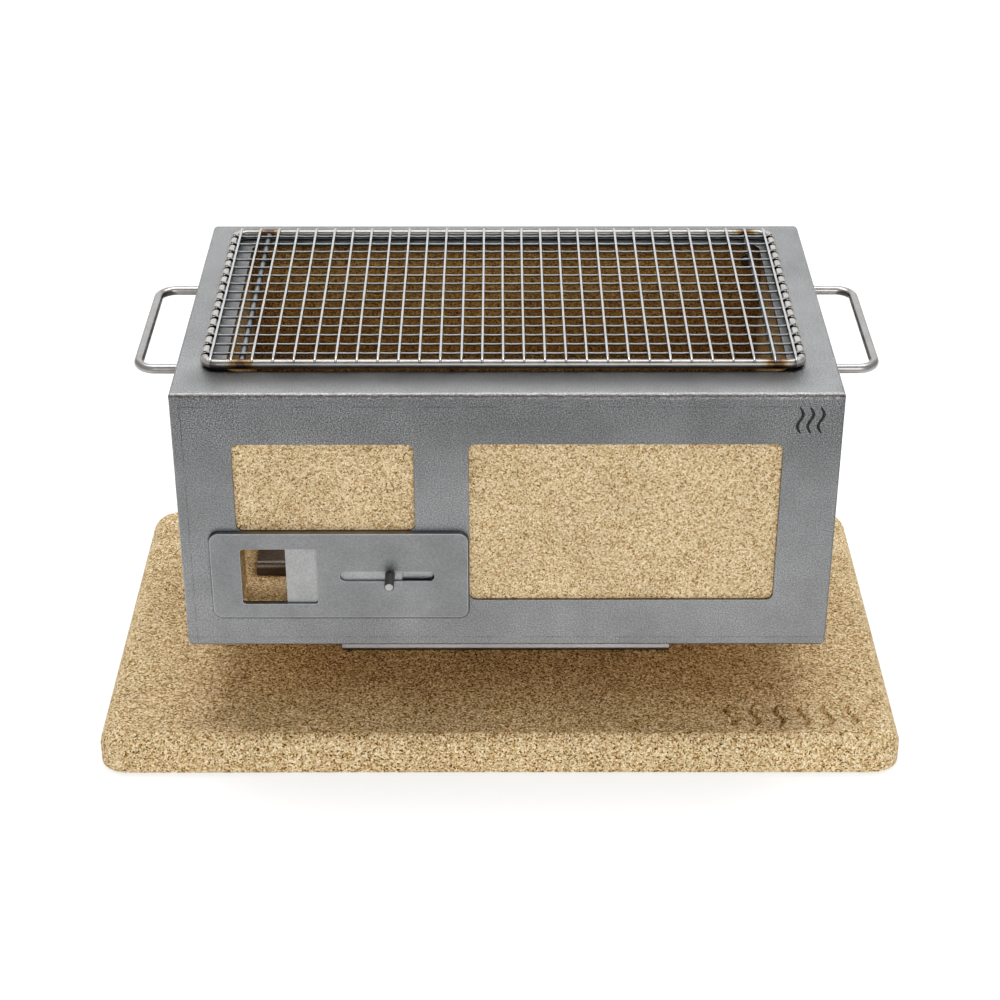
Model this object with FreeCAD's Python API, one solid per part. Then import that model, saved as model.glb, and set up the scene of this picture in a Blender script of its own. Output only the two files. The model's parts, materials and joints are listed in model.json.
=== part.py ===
import FreeCAD, Part
import math
import os

# Table-top hibachi charcoal grill: a sheet-steel firebox lined with vermiculite board. It stands on two
# folded steel feet on a thick vermiculite base board, and a welded wire grate lies on its top rim.
#
# Millimetres. Origin: centre of the base board's underside. +X is to the cook's right, +Y away from the
# cook, +Z up. Everything but the board is drawn in the firebox's own frame, which has its origin in the
# middle of the firebox's top front edge and the same directions, and is moved into place on export.
# A pair such as (low, high) is a span along one axis.

# Base board
BOARD_LENGTH = 508.4
BOARD_DEPTH = 291.0
BOARD_THICKNESS = 25.0
BOARD_CORNER_RADIUS = 18.0
BOARD_EDGE_RADIUS = 10.5

# Firebox casing
BOX_LENGTH = 400.0
BOX_DEPTH = 252.0
BOX_HEIGHT = 177.0
SHEET = 2.0
FRONT_BEND_RADIUS = 3.5
REAR_BEND_RADIUS = 6.0
BOTTOM_CORNER_RADIUS = 4.5
ARRIS_RADIUS = 1.5
DEBURR_RADIUS = 0.4
OPENING_X = (-170.0, 170.0)
OPENING_Y = (31.0, 220.0)
OPENING_CORNER_RADIUS = 8.0
SMALL_WINDOW_X = (-165.0, -56.0)
SMALL_WINDOW_Z = (-93.5, -33.5)
LARGE_WINDOW_X = (-23.0, 165.0)
LARGE_WINDOW_Z = (-143.3, -33.3)
WINDOW_CORNER_RADIUS = 4.5

# Where the firebox stands on the board
FOOT_HEIGHT = 50.0
BOX_CENTRE_X = 4.3
BOX_FRONT_Y = -112.5

# Vermiculite linings
LINING = 25.0
FLOOR_LINING = 29.6

# Air vent: face plate, sliding shutter behind it, and the duct through the front lining
VENT_PLATE_X = (-182.0, -23.7)
VENT_PLATE_Z = (-154.4, -93.7)
VENT_PLATE_THICKNESS = 3.0
VENT_PLATE_CORNER_RADIUS = 6.0
VENT_POCKET_DEPTH = 1.6
VENT_HOLE_X = (-163.3, -117.0)
VENT_HOLE_Z = (-144.2, -104.9)
VENT_HOLE_CORNER_RADIUS = 2.0
VENT_SLOT_X = (-102.6, -44.7)
VENT_SLOT_Z = (-127.8, -120.9)
VENT_SLOT_END_RADIUS = 3.4
PANEL_AIR_HOLE_MARGIN = 1.0
SHUTTER_POCKET_X = (-165.0, -38.0)
SHUTTER_POCKET_Z = (-150.0, -99.0)
SHUTTER_X = (-136.0, -64.5)
SHUTTER_HEIGHT = 48.0
SHUTTER_THICKNESS = 1.2
STUD_X = -72.0
STUD_RADIUS = 3.0
STUD_REACH = 12.5
DUCT_X = (-164.0, -115.0)
DUCT_TOP = -104.0
DUCT_CORNER_RADIUS = 2.0

# Carrying handles
HANDLE_Y = (68.0, 183.0)
HANDLE_Z = -17.0
HANDLE_REACH = 29.0
HANDLE_ROD_RADIUS = 3.0
HANDLE_BEND_RADIUS = 11.0

# M6 hardware
CLEARANCE_HOLE_RADIUS = 3.3
M6_RADIUS = 3.0
NUT_ACROSS_FLATS = 10.0
NUT_HEIGHT = 5.0
BOLT_HEAD_HEIGHT = 4.0
WASHER_RADIUS = 6.0
WASHER_THICKNESS = 1.2
THREAD_STANDOUT = 2.0
NUT_POCKET_RADIUS = 8.0
NUT_POCKET_DEPTH = 12.0

# Feet: two folded channels with a leaning web, mirror images of each other
FOOT_X = (-109.1, 108.3)
FOOT_TOE_Y = 66.1
FOOT_LEAN = math.radians(20)
FOOT_SHEET = 2.0
FOOT_FLANGE = 30.0
FOOT_BEND_RADIUS = 2.2
FOOT_BOLT_X = (-80.4, 79.6)
FOOT_BOLT_FROM_WEB = 16.0

# Screws that hold the rear lining to the casing
LINING_SCREW_X = (-163.0, 163.0)
LINING_SCREW_Z = -14.0
LINING_SCREW_RADIUS = 1.75
LINING_SCREW_HEAD_RADIUS = 3.6
LINING_SCREW_HEAD_HEIGHT = 2.4
LINING_SCREW_RECESS_RADIUS = 1.2
LINING_SCREW_RECESS_DEPTH = 1.4

# Charcoal grate: a sheet with its front and rear edges turned down
CHARCOAL_GRATE_X = (-158.0, 158.0)
CHARCOAL_GRATE_Y = (32.0, 218.0)
CHARCOAL_GRATE_HEIGHT = 9.0
CHARCOAL_GRATE_SHEET = 2.0
CHARCOAL_GRATE_BEND_RADIUS = 4.0
AIR_SLOT_ROWS = 2
AIR_SLOT_COLUMNS = 13
AIR_SLOT_WIDTH = 7.0
AIR_SLOT_LENGTH = 58.0
AIR_SLOT_PITCH_X = 22.0
AIR_SLOT_PITCH_Y = 76.0

# Cooking grate: a rod frame with welded wires
GRATE_CENTRE_X = -2.2
GRATE_CENTRE_Y = 132.3
GRATE_HALF_LENGTH = 180.1
GRATE_HALF_DEPTH = 98.0
GRATE_REST_GAP = 0.3
GRATE_ROD_RADIUS = 3.0
GRATE_ROD_BEND_RADIUS = 8.0
WIRE_PITCH = 12.58
CROSS_WIRE_COUNT = 29
CROSS_WIRE_RADIUS = 0.9
LONG_WIRE_COUNT = 15
LONG_WIRE_RADIUS = 0.8
LONG_WIRE_OVERRUN = 1.4
LONG_WIRE_END_SINK = 0.5
JOGGLE_START = 0.6
JOGGLE_END = 3.0
JOGGLE_RADIUS = 1.0
STIFFENER_X = (-160.0, 162.0)
STIFFENER_RADIUS = 2.0
WELD_SINK = 0.1

# Planes that several pieces share, in the firebox frame
BOX_X = (-BOX_LENGTH / 2, BOX_LENGTH / 2)
INSIDE_X = (BOX_X[0] + SHEET, BOX_X[1] - SHEET)
INSIDE_Y = (SHEET, BOX_DEPTH - SHEET)
INSIDE_Z = (SHEET - BOX_HEIGHT, -SHEET)
FIREBOX_X = (INSIDE_X[0] + LINING, INSIDE_X[1] - LINING)
FIREBOX_Y = (INSIDE_Y[0] + LINING, INSIDE_Y[1] - LINING)
FIREBOX_FLOOR = INSIDE_Z[0] + FLOOR_LINING
FOOT_BOTTOM = -BOX_HEIGHT - FOOT_HEIGHT
FOOT_TOP_Y = FOOT_TOE_Y + FOOT_HEIGHT * math.tan(FOOT_LEAN)
STUD_Z = sum(VENT_SLOT_Z) / 2
SHUTTER_Z = (STUD_Z - SHUTTER_HEIGHT / 2, STUD_Z + SHUTTER_HEIGHT / 2)
SHUTTER_Y = (-(VENT_POCKET_DEPTH + SHUTTER_THICKNESS) / 2, -(VENT_POCKET_DEPTH - SHUTTER_THICKNESS) / 2)

X_AXIS = FreeCAD.Vector(1, 0, 0)
Y_AXIS = FreeCAD.Vector(0, 1, 0)
Z_AXIS = FreeCAD.Vector(0, 0, 1)
FIREBOX_PLACE = FreeCAD.Vector(BOX_CENTRE_X, BOX_FRONT_Y, BOARD_THICKNESS + FOOT_HEIGHT + BOX_HEIGHT)
BOARD_PLACE = FreeCAD.Vector(0, 0, 0)


def block(x, y, z):
    """A rectangular block between three spans."""
    corner = FreeCAD.Vector(x[0], y[0], z[0])
    return Part.makeBox(x[1] - x[0], y[1] - y[0], z[1] - z[0], corner)


def edges_along(shape, axis, keep=None):
    """The straight edges parallel to an axis, or those of them whose middle point passes keep."""
    found = []
    for edge in shape.Edges:
        ends = edge.Vertexes
        if len(ends) != 2:
            continue
        run = ends[1].Point.sub(ends[0].Point)
        parallel = run.Length > 0 and abs(run.dot(axis)) > 0.999 * run.Length
        middle = ends[0].Point.add(ends[1].Point).multiply(0.5)
        if parallel and (keep is None or keep(middle)):
            found.append(edge)
    return found


def rounded_block(x, y, z, axis, radius, keep=None):
    """A block with the edges along one axis rounded, or those of them that pass keep."""
    shape = block(x, y, z)
    return shape.makeFillet(radius, edges_along(shape, axis, keep))


def cylinder(start, axis, radius, length):
    return Part.makeCylinder(radius, length, FreeCAD.Vector(*start), axis)


def hexagon(centre, axis, across_flats, height):
    """A hexagonal prism that grows from its centre point along the axis."""
    corner_radius = across_flats / math.sqrt(3)
    side = Z_AXIS.cross(axis)
    if side.Length < 0.5:
        side = X_AXIS
    other = axis.cross(side)
    points = []
    for corner in range(7):
        angle = math.radians(60 * corner)
        offset = side * (corner_radius * math.cos(angle)) + other * (corner_radius * math.sin(angle))
        points.append(FreeCAD.Vector(*centre).add(offset))
    return Part.Face(Part.makePolygon(points)).extrude(axis * height)


def bent_rod(corners, radius, bend_radii):
    """A round rod along straight runs joined by tangent arcs, with one bend radius for each inner corner."""
    points = [FreeCAD.Vector(*corner) for corner in corners]
    edges = []
    start = points[0]
    for index in range(1, len(points) - 1):
        corner = points[index]
        bend_radius = bend_radii[index - 1]
        back = points[index - 1].sub(corner).normalize()
        ahead = points[index + 1].sub(corner).normalize()
        half_angle = back.getAngle(ahead) / 2
        trim = bend_radius / math.tan(half_angle)
        inward = back.add(ahead).normalize()
        middle = corner.add(inward * (bend_radius / math.sin(half_angle) - bend_radius))
        bend_start = corner.add(back * trim)
        bend_end = corner.add(ahead * trim)
        edges.append(Part.LineSegment(start, bend_start).toShape())
        edges.append(Part.Arc(bend_start, middle, bend_end).toShape())
        start = bend_end
    edges.append(Part.LineSegment(start, points[-1]).toShape())
    ring = Part.Circle(points[0], points[1].sub(points[0]), radius).toShape()
    return Part.Wire(edges).makePipeShell([Part.Wire([ring])], True, False)


def cut_all(shape, tools):
    for tool in tools:
        shape = shape.cut(tool)
    return shape


def deburred(shape, keep):
    """Break the sharp edges of a sheet that lie in one of its faces, those whose box passes keep."""
    return shape.makeFillet(DEBURR_RADIUS, [edge for edge in shape.Edges if keep(edge.BoundBox)])


def export(name, shape, place=FIREBOX_PLACE):
    placed = shape.copy()
    placed.translate(place)
    placed.exportStep("parts/" + name + ".step")


# ---- Base board -----------------------------------------------------------------------------------------

def make_base_board():
    length = (-BOARD_LENGTH / 2, BOARD_LENGTH / 2)
    depth = (-BOARD_DEPTH / 2, BOARD_DEPTH / 2)
    board = rounded_block(length, depth, (0, BOARD_THICKNESS), Z_AXIS, BOARD_CORNER_RADIUS)
    top_edges = [edge for edge in board.Edges if edge.BoundBox.ZMin > BOARD_THICKNESS - 0.01]
    return board.makeFillet(BOARD_EDGE_RADIUS, top_edges)


# ---- Casing ---------------------------------------------------------------------------------------------

def handle_holes(radius, x):
    """Cylinders along X through the casing ends, one for each handle leg."""
    return [cylinder((x[0], y, HANDLE_Z), X_AXIS, radius, x[1] - x[0]) for y in HANDLE_Y]


def casing_outline():
    """The casing's outer shape as one solid: what stays inside the outlines of its front, plan and side."""
    depth = (0, BOX_DEPTH)
    height = (-BOX_HEIGHT, 0)
    front = rounded_block(BOX_X, depth, height, Y_AXIS, BOTTOM_CORNER_RADIUS, lambda middle: middle.z < -1)
    front = front.makeFillet(ARRIS_RADIUS, edges_along(front, Y_AXIS, lambda middle: middle.z > -0.01))
    plan = rounded_block(BOX_X, depth, height, Z_AXIS, REAR_BEND_RADIUS, lambda middle: middle.y > 1)
    plan = plan.makeFillet(ARRIS_RADIUS, edges_along(plan, Z_AXIS, lambda middle: middle.y < 0.01))
    side = rounded_block(BOX_X, depth, height, X_AXIS, FRONT_BEND_RADIUS,
                         lambda middle: middle.y < 1 and middle.z > -1)
    side = side.makeFillet(ARRIS_RADIUS, edges_along(
        side, X_AXIS, lambda middle: middle.z < -1 or middle.y > 1))
    return front.common(plan).common(side)


def make_front_top_panel():
    """One sheet folded over the top front edge: the front with its windows, and the top rim."""
    front = block(BOX_X, (0, SHEET), (-BOX_HEIGHT, 0))
    top = block(BOX_X, (0, BOX_DEPTH), (-SHEET, 0))
    panel = front.fuse(top).removeSplitter()
    panel = panel.makeFillet(FRONT_BEND_RADIUS - SHEET, edges_along(
        panel, X_AXIS, lambda middle: abs(middle.y - SHEET) < 0.01 and abs(middle.z + SHEET) < 0.01))
    panel = panel.common(casing_outline())
    through_front = (-1, SHEET + 1)
    through_top = (-SHEET - 1, 1)
    panel = cut_all(panel, [
        rounded_block(OPENING_X, OPENING_Y, through_top, Z_AXIS, OPENING_CORNER_RADIUS),
        rounded_block(SMALL_WINDOW_X, through_front, SMALL_WINDOW_Z, Y_AXIS, WINDOW_CORNER_RADIUS),
        rounded_block(LARGE_WINDOW_X, through_front, LARGE_WINDOW_Z, Y_AXIS, WINDOW_CORNER_RADIUS),
    ])
    margin = 2 * WINDOW_CORNER_RADIUS

    def around_window(bounds):
        in_front_face = abs(bounds.YMin) < 0.01 and abs(bounds.YMax) < 0.01
        return in_front_face and bounds.XMin > BOX_X[0] + margin and bounds.XMax < BOX_X[1] - margin and (
            bounds.ZMin > margin - BOX_HEIGHT and bounds.ZMax < -margin)

    def around_opening(bounds):
        in_top_face = abs(bounds.ZMin) < 0.01 and abs(bounds.ZMax) < 0.01
        return in_top_face and bounds.YMin > margin and bounds.YMax < BOX_DEPTH - margin and (
            bounds.XMin > BOX_X[0] + margin and bounds.XMax < BOX_X[1] - margin)

    panel = deburred(panel, lambda bounds: around_window(bounds) or around_opening(bounds))
    air_hole_x = (VENT_HOLE_X[0] - PANEL_AIR_HOLE_MARGIN, VENT_HOLE_X[1] + PANEL_AIR_HOLE_MARGIN)
    air_hole_z = (VENT_HOLE_Z[0] - PANEL_AIR_HOLE_MARGIN, VENT_HOLE_Z[1] + PANEL_AIR_HOLE_MARGIN)
    return panel.cut(rounded_block(air_hole_x, through_front, air_hole_z, Y_AXIS, VENT_HOLE_CORNER_RADIUS))


def make_side_rear_shell():
    """One sheet folded into a U: left end, back and right end, standing under the top rim."""
    height = (-BOX_HEIGHT, -SHEET)
    outside = block(BOX_X, (SHEET, BOX_DEPTH), height).common(casing_outline())
    inside = rounded_block(INSIDE_X, (0, INSIDE_Y[1]), (height[0] - 1, height[1] + 1), Z_AXIS,
                           REAR_BEND_RADIUS - SHEET, lambda middle: middle.y > BOX_DEPTH / 2)
    screw_holes = [cylinder((x, INSIDE_Y[1] - 1, LINING_SCREW_Z), Y_AXIS, LINING_SCREW_RADIUS, SHEET + 2)
                   for x in LINING_SCREW_X]
    leg_holes = handle_holes(CLEARANCE_HOLE_RADIUS, (BOX_X[0] - 1, BOX_X[1] + 1))
    shell = outside.cut(inside)
    shell = shell.makeFillet(FRONT_BEND_RADIUS - SHEET, edges_along(
        shell, X_AXIS, lambda middle: middle.y < SHEET + 0.01 and middle.z > height[1] - 0.01))
    return cut_all(shell, leg_holes + screw_holes)


def foot_bolt_places():
    """X and Y of the four bolts that hold the feet."""
    front = FOOT_TOP_Y + FOOT_BOLT_FROM_WEB
    return [(x, y) for y in (front, BOX_DEPTH - front) for x in FOOT_BOLT_X]


def make_base_plate():
    plate = rounded_block(INSIDE_X, INSIDE_Y, (-BOX_HEIGHT, INSIDE_Z[0]), Z_AXIS, REAR_BEND_RADIUS - SHEET,
                          lambda middle: middle.y > BOX_DEPTH / 2)
    plate = plate.common(casing_outline())
    return cut_all(plate, [cylinder((x, y, -BOX_HEIGHT - 1), Z_AXIS, CLEARANCE_HOLE_RADIUS, SHEET + 2)
                           for x, y in foot_bolt_places()])


# ---- Feet -----------------------------------------------------------------------------------------------

def make_front_foot():
    """A channel: bottom flange back along the board, web leaning back, top flange under the base plate."""
    under_top = FOOT_HEIGHT - FOOT_SHEET
    web_back = FOOT_TOE_Y + FOOT_SHEET / math.cos(FOOT_LEAN)
    inner_bottom_y = web_back + FOOT_SHEET * math.tan(FOOT_LEAN)
    inner_top_y = web_back + under_top * math.tan(FOOT_LEAN)
    profile = [(FOOT_TOE_Y + FOOT_FLANGE, 0), (FOOT_TOE_Y, 0), (FOOT_TOP_Y, FOOT_HEIGHT),
               (FOOT_TOP_Y + FOOT_FLANGE, FOOT_HEIGHT), (FOOT_TOP_Y + FOOT_FLANGE, under_top),
               (inner_top_y, under_top), (inner_bottom_y, FOOT_SHEET), (FOOT_TOE_Y + FOOT_FLANGE, FOOT_SHEET)]
    points = [FreeCAD.Vector(FOOT_X[0], y, FOOT_BOTTOM + z) for y, z in profile + profile[:1]]
    foot = Part.Face(Part.makePolygon(points)).extrude(X_AXIS * (FOOT_X[1] - FOOT_X[0]))

    def edge_at(y, z):
        return edges_along(foot, X_AXIS, lambda middle: abs(middle.y - y) < 0.01 and (
            abs(middle.z - FOOT_BOTTOM - z) < 0.01))

    outer = edge_at(*profile[1]) + edge_at(*profile[2])
    foot = foot.makeFillet(FOOT_BEND_RADIUS, outer)
    inner = edge_at(*profile[5]) + edge_at(*profile[6])
    foot = foot.makeFillet(FOOT_BEND_RADIUS - FOOT_SHEET, inner)
    bolt_y = FOOT_TOP_Y + FOOT_BOLT_FROM_WEB
    return cut_all(foot, [cylinder((x, bolt_y, -BOX_HEIGHT - FOOT_SHEET - 1), Z_AXIS,
                                   CLEARANCE_HOLE_RADIUS, FOOT_SHEET + 2) for x in FOOT_BOLT_X])


def make_rear_foot(front_foot):
    return front_foot.mirror(FreeCAD.Vector(0, BOX_DEPTH / 2, 0), Y_AXIS)


def make_foot_bolts():
    """Hexagon-head bolts that come up through the feet and the base plate."""
    head_bottom = -BOX_HEIGHT - FOOT_SHEET - BOLT_HEAD_HEIGHT
    bolt_top = INSIDE_Z[0] + NUT_HEIGHT + THREAD_STANDOUT
    bolts = []
    for x, y in foot_bolt_places():
        head = hexagon((x, y, head_bottom), Z_AXIS, NUT_ACROSS_FLATS, BOLT_HEAD_HEIGHT)
        shank = cylinder((x, y, head_bottom), Z_AXIS, M6_RADIUS, bolt_top - head_bottom)
        bolts.append(head.fuse(shank).removeSplitter())
    return Part.makeCompound(bolts)


def make_foot_nuts():
    """Nuts on the foot bolts, in pockets on the underside of the floor lining."""
    nuts = []
    for x, y in foot_bolt_places():
        nut = hexagon((x, y, INSIDE_Z[0]), Z_AXIS, NUT_ACROSS_FLATS, NUT_HEIGHT)
        nuts.append(nut.cut(cylinder((x, y, INSIDE_Z[0] - 1), Z_AXIS, M6_RADIUS, NUT_HEIGHT + 2)))
    return Part.makeCompound(nuts)


# ---- Air vent -------------------------------------------------------------------------------------------

def make_vent_face_plate():
    """The plate that stands proud of the front, with the shutter's pocket in its back."""
    plate_y = (-VENT_PLATE_THICKNESS, 0)
    through = (-VENT_PLATE_THICKNESS - 1, 1)
    plate = rounded_block(VENT_PLATE_X, plate_y, VENT_PLATE_Z, Y_AXIS, VENT_PLATE_CORNER_RADIUS)
    hole = rounded_block(VENT_HOLE_X, through, VENT_HOLE_Z, Y_AXIS, VENT_HOLE_CORNER_RADIUS)
    slot = rounded_block(VENT_SLOT_X, through, VENT_SLOT_Z, Y_AXIS, VENT_SLOT_END_RADIUS)
    pocket = block(SHUTTER_POCKET_X, (-VENT_POCKET_DEPTH, 1), SHUTTER_POCKET_Z)
    plate = cut_all(plate, [hole, slot, pocket])
    return deburred(plate, lambda bounds: bounds.YMax < plate_y[0] + 0.01)


def make_vent_shutter():
    return rounded_block(SHUTTER_X, SHUTTER_Y, SHUTTER_Z, Y_AXIS, VENT_HOLE_CORNER_RADIUS)


def make_vent_stud():
    """The stud welded to the shutter, which comes out through the slot for the cook to push."""
    length = VENT_PLATE_THICKNESS + STUD_REACH + SHUTTER_Y[0]
    stud = cylinder((STUD_X, SHUTTER_Y[0] - length, STUD_Z), Y_AXIS, STUD_RADIUS, length)
    tip = [edge for edge in stud.Edges if edge.BoundBox.YMax < SHUTTER_Y[0] - length + 0.01]
    return stud.makeChamfer(0.7, tip)


# ---- Linings --------------------------------------------------------------------------------------------

def make_lining_front():
    board = block(INSIDE_X, (INSIDE_Y[0], FIREBOX_Y[0]), INSIDE_Z)
    board = board.makeFillet(FRONT_BEND_RADIUS - SHEET, edges_along(
        board, X_AXIS, lambda middle: middle.y < LINING / 2 and middle.z > -BOX_HEIGHT / 2))
    duct = rounded_block(DUCT_X, (INSIDE_Y[0] - 1, FIREBOX_Y[0] + 1), (FIREBOX_FLOOR, DUCT_TOP), Y_AXIS,
                         DUCT_CORNER_RADIUS)
    return board.cut(duct)


def make_lining_rear():
    board = rounded_block(INSIDE_X, (FIREBOX_Y[1], INSIDE_Y[1]), INSIDE_Z, Z_AXIS, REAR_BEND_RADIUS - SHEET,
                          lambda middle: middle.y > INSIDE_Y[1] - 1)
    return cut_all(board, [cylinder((x, FIREBOX_Y[1] - 1, LINING_SCREW_Z), Y_AXIS,
                                    LINING_SCREW_RADIUS + 0.3, LINING + 2) for x in LINING_SCREW_X])


def make_lining_side(x, pocket_x):
    """A side lining, with a pocket in its outer face round the nut on each handle leg."""
    board = block(x, FIREBOX_Y, INSIDE_Z)
    return cut_all(board, handle_holes(NUT_POCKET_RADIUS, pocket_x))


def make_lining_floor():
    board = block(FIREBOX_X, FIREBOX_Y, (INSIDE_Z[0], FIREBOX_FLOOR))
    return cut_all(board, [cylinder((x, y, INSIDE_Z[0] - 1), Z_AXIS, NUT_POCKET_RADIUS, NUT_POCKET_DEPTH)
                           for x, y in foot_bolt_places()])


def make_lining_screws():
    """Round-headed screws with a socket, through the rear lining and into the back of the casing."""
    screws = []
    for x in LINING_SCREW_X:
        head_y = FIREBOX_Y[1] - LINING_SCREW_HEAD_HEIGHT
        head = cylinder((x, head_y, LINING_SCREW_Z), Y_AXIS, LINING_SCREW_HEAD_RADIUS,
                        LINING_SCREW_HEAD_HEIGHT)
        rim = [edge for edge in head.Edges if edge.BoundBox.YMax < head_y + 0.01]
        head = head.makeFillet(LINING_SCREW_HEAD_HEIGHT * 0.6, rim)
        shank = cylinder((x, FIREBOX_Y[1], LINING_SCREW_Z), Y_AXIS, LINING_SCREW_RADIUS,
                         BOX_DEPTH - FIREBOX_Y[1])
        socket = cylinder((x, head_y - 1, LINING_SCREW_Z), Y_AXIS, LINING_SCREW_RECESS_RADIUS,
                          LINING_SCREW_RECESS_DEPTH + 1)
        screws.append(head.fuse(shank).cut(socket))
    return Part.makeCompound(screws)


# ---- Handles --------------------------------------------------------------------------------------------

def make_handle(side):
    """A U of round rod; its legs go through the casing end and carry a nut inside. side is -1 or 1."""
    bar_x = side * (BOX_LENGTH / 2 + HANDLE_REACH)
    end_x = side * (INSIDE_X[1] - WASHER_THICKNESS - NUT_HEIGHT - THREAD_STANDOUT)
    corners = [(end_x, HANDLE_Y[0], HANDLE_Z), (bar_x, HANDLE_Y[0], HANDLE_Z),
               (bar_x, HANDLE_Y[1], HANDLE_Z), (end_x, HANDLE_Y[1], HANDLE_Z)]
    return bent_rod(corners, HANDLE_ROD_RADIUS, [HANDLE_BEND_RADIUS] * 2)


def make_handle_washers(side):
    inward = X_AXIS * -side
    washers = []
    for y in HANDLE_Y:
        start = (side * INSIDE_X[1], y, HANDLE_Z)
        hole_start = (side * (INSIDE_X[1] + 1), y, HANDLE_Z)
        washer = cylinder(start, inward, WASHER_RADIUS, WASHER_THICKNESS)
        washers.append(washer.cut(cylinder(hole_start, inward, CLEARANCE_HOLE_RADIUS, WASHER_THICKNESS + 2)))
    return Part.makeCompound(washers)


def make_handle_nuts(side):
    inward = X_AXIS * -side
    face_x = INSIDE_X[1] - WASHER_THICKNESS
    nuts = []
    for y in HANDLE_Y:
        nut = hexagon((side * face_x, y, HANDLE_Z), inward, NUT_ACROSS_FLATS, NUT_HEIGHT)
        hole = cylinder((side * (face_x + 1), y, HANDLE_Z), inward, M6_RADIUS, NUT_HEIGHT + 2)
        nuts.append(nut.cut(hole))
    return Part.makeCompound(nuts)


# ---- Charcoal grate -------------------------------------------------------------------------------------

def make_charcoal_grate():
    """A slotted sheet that stands on the firebox floor on its turned-down front and rear edges."""
    top = FIREBOX_FLOOR + CHARCOAL_GRATE_HEIGHT
    under = top - CHARCOAL_GRATE_SHEET
    inner_y = (CHARCOAL_GRATE_Y[0] + CHARCOAL_GRATE_SHEET, CHARCOAL_GRATE_Y[1] - CHARCOAL_GRATE_SHEET)
    past_ends = (CHARCOAL_GRATE_X[0] - 1, CHARCOAL_GRATE_X[1] + 1)
    grate = rounded_block(CHARCOAL_GRATE_X, CHARCOAL_GRATE_Y, (FIREBOX_FLOOR, top), X_AXIS,
                          CHARCOAL_GRATE_BEND_RADIUS, lambda middle: middle.z > top - 0.01)
    hollow = rounded_block(past_ends, inner_y, (FIREBOX_FLOOR - 10, under), X_AXIS,
                           CHARCOAL_GRATE_BEND_RADIUS - CHARCOAL_GRATE_SHEET,
                           lambda middle: middle.z > under - 0.01)
    grate = grate.cut(hollow)
    slots = []
    for row in range(AIR_SLOT_ROWS):
        middle_y = sum(CHARCOAL_GRATE_Y) / 2 + (row - (AIR_SLOT_ROWS - 1) / 2) * AIR_SLOT_PITCH_Y
        slot_y = (middle_y - AIR_SLOT_LENGTH / 2, middle_y + AIR_SLOT_LENGTH / 2)
        for column in range(AIR_SLOT_COLUMNS):
            middle_x = (column - (AIR_SLOT_COLUMNS - 1) / 2) * AIR_SLOT_PITCH_X
            slot_x = (middle_x - AIR_SLOT_WIDTH / 2, middle_x + AIR_SLOT_WIDTH / 2)
            slots.append(rounded_block(slot_x, slot_y, (under - 1, top + 1), Z_AXIS,
                                       AIR_SLOT_WIDTH / 2 - 0.01))
    return grate.cut(slots)


# ---- Cooking grate --------------------------------------------------------------------------------------

ROD_Z = GRATE_REST_GAP + GRATE_ROD_RADIUS
CROSS_WIRE_Z = ROD_Z + GRATE_ROD_RADIUS + CROSS_WIRE_RADIUS - WELD_SINK
LONG_WIRE_Z = CROSS_WIRE_Z - CROSS_WIRE_RADIUS - LONG_WIRE_RADIUS + WELD_SINK
STIFFENER_Z = LONG_WIRE_Z - LONG_WIRE_RADIUS - STIFFENER_RADIUS + WELD_SINK
GRATE_SIDES = (GRATE_CENTRE_X - GRATE_HALF_LENGTH, GRATE_CENTRE_X + GRATE_HALF_LENGTH)
GRATE_ENDS = (GRATE_CENTRE_Y - GRATE_HALF_DEPTH, GRATE_CENTRE_Y + GRATE_HALF_DEPTH)


def make_grate_frame():
    corners = [(GRATE_CENTRE_X, GRATE_ENDS[0], ROD_Z), (GRATE_SIDES[1], GRATE_ENDS[0], ROD_Z),
               (GRATE_SIDES[1], GRATE_ENDS[1], ROD_Z), (GRATE_SIDES[0], GRATE_ENDS[1], ROD_Z),
               (GRATE_SIDES[0], GRATE_ENDS[0], ROD_Z), (GRATE_CENTRE_X, GRATE_ENDS[0], ROD_Z)]
    return bent_rod(corners, GRATE_ROD_RADIUS, [GRATE_ROD_BEND_RADIUS] * 4)


def make_grate_cross_wires():
    """Straight wires from front to back, on top of the frame rods."""
    wires = []
    for index in range(CROSS_WIRE_COUNT):
        x = GRATE_CENTRE_X + (index - (CROSS_WIRE_COUNT - 1) / 2) * WIRE_PITCH
        start = (x, GRATE_ENDS[0] - CROSS_WIRE_RADIUS, CROSS_WIRE_Z)
        length = 2 * (GRATE_HALF_DEPTH + CROSS_WIRE_RADIUS)
        wires.append(cylinder(start, Y_AXIS, CROSS_WIRE_RADIUS, length))
    return Part.makeCompound(wires)


def make_grate_long_wires():
    """Wires along the grate, under the cross wires, that step up at each end onto the side rods."""
    over_rod = ROD_Z + GRATE_ROD_RADIUS + LONG_WIRE_RADIUS - LONG_WIRE_END_SINK
    wires = []
    for index in range(LONG_WIRE_COUNT):
        y = GRATE_CENTRE_Y + (index - (LONG_WIRE_COUNT - 1) / 2) * WIRE_PITCH
        left = [(GRATE_SIDES[0] - LONG_WIRE_OVERRUN, y, over_rod),
                (GRATE_SIDES[0] + JOGGLE_START, y, over_rod),
                (GRATE_SIDES[0] + JOGGLE_END, y, LONG_WIRE_Z)]
        right = [(2 * GRATE_CENTRE_X - x, y, z) for x, y, z in reversed(left)]
        wires.append(bent_rod(left + right, LONG_WIRE_RADIUS, [JOGGLE_RADIUS] * 4))
    return Part.makeCompound(wires)


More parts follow.
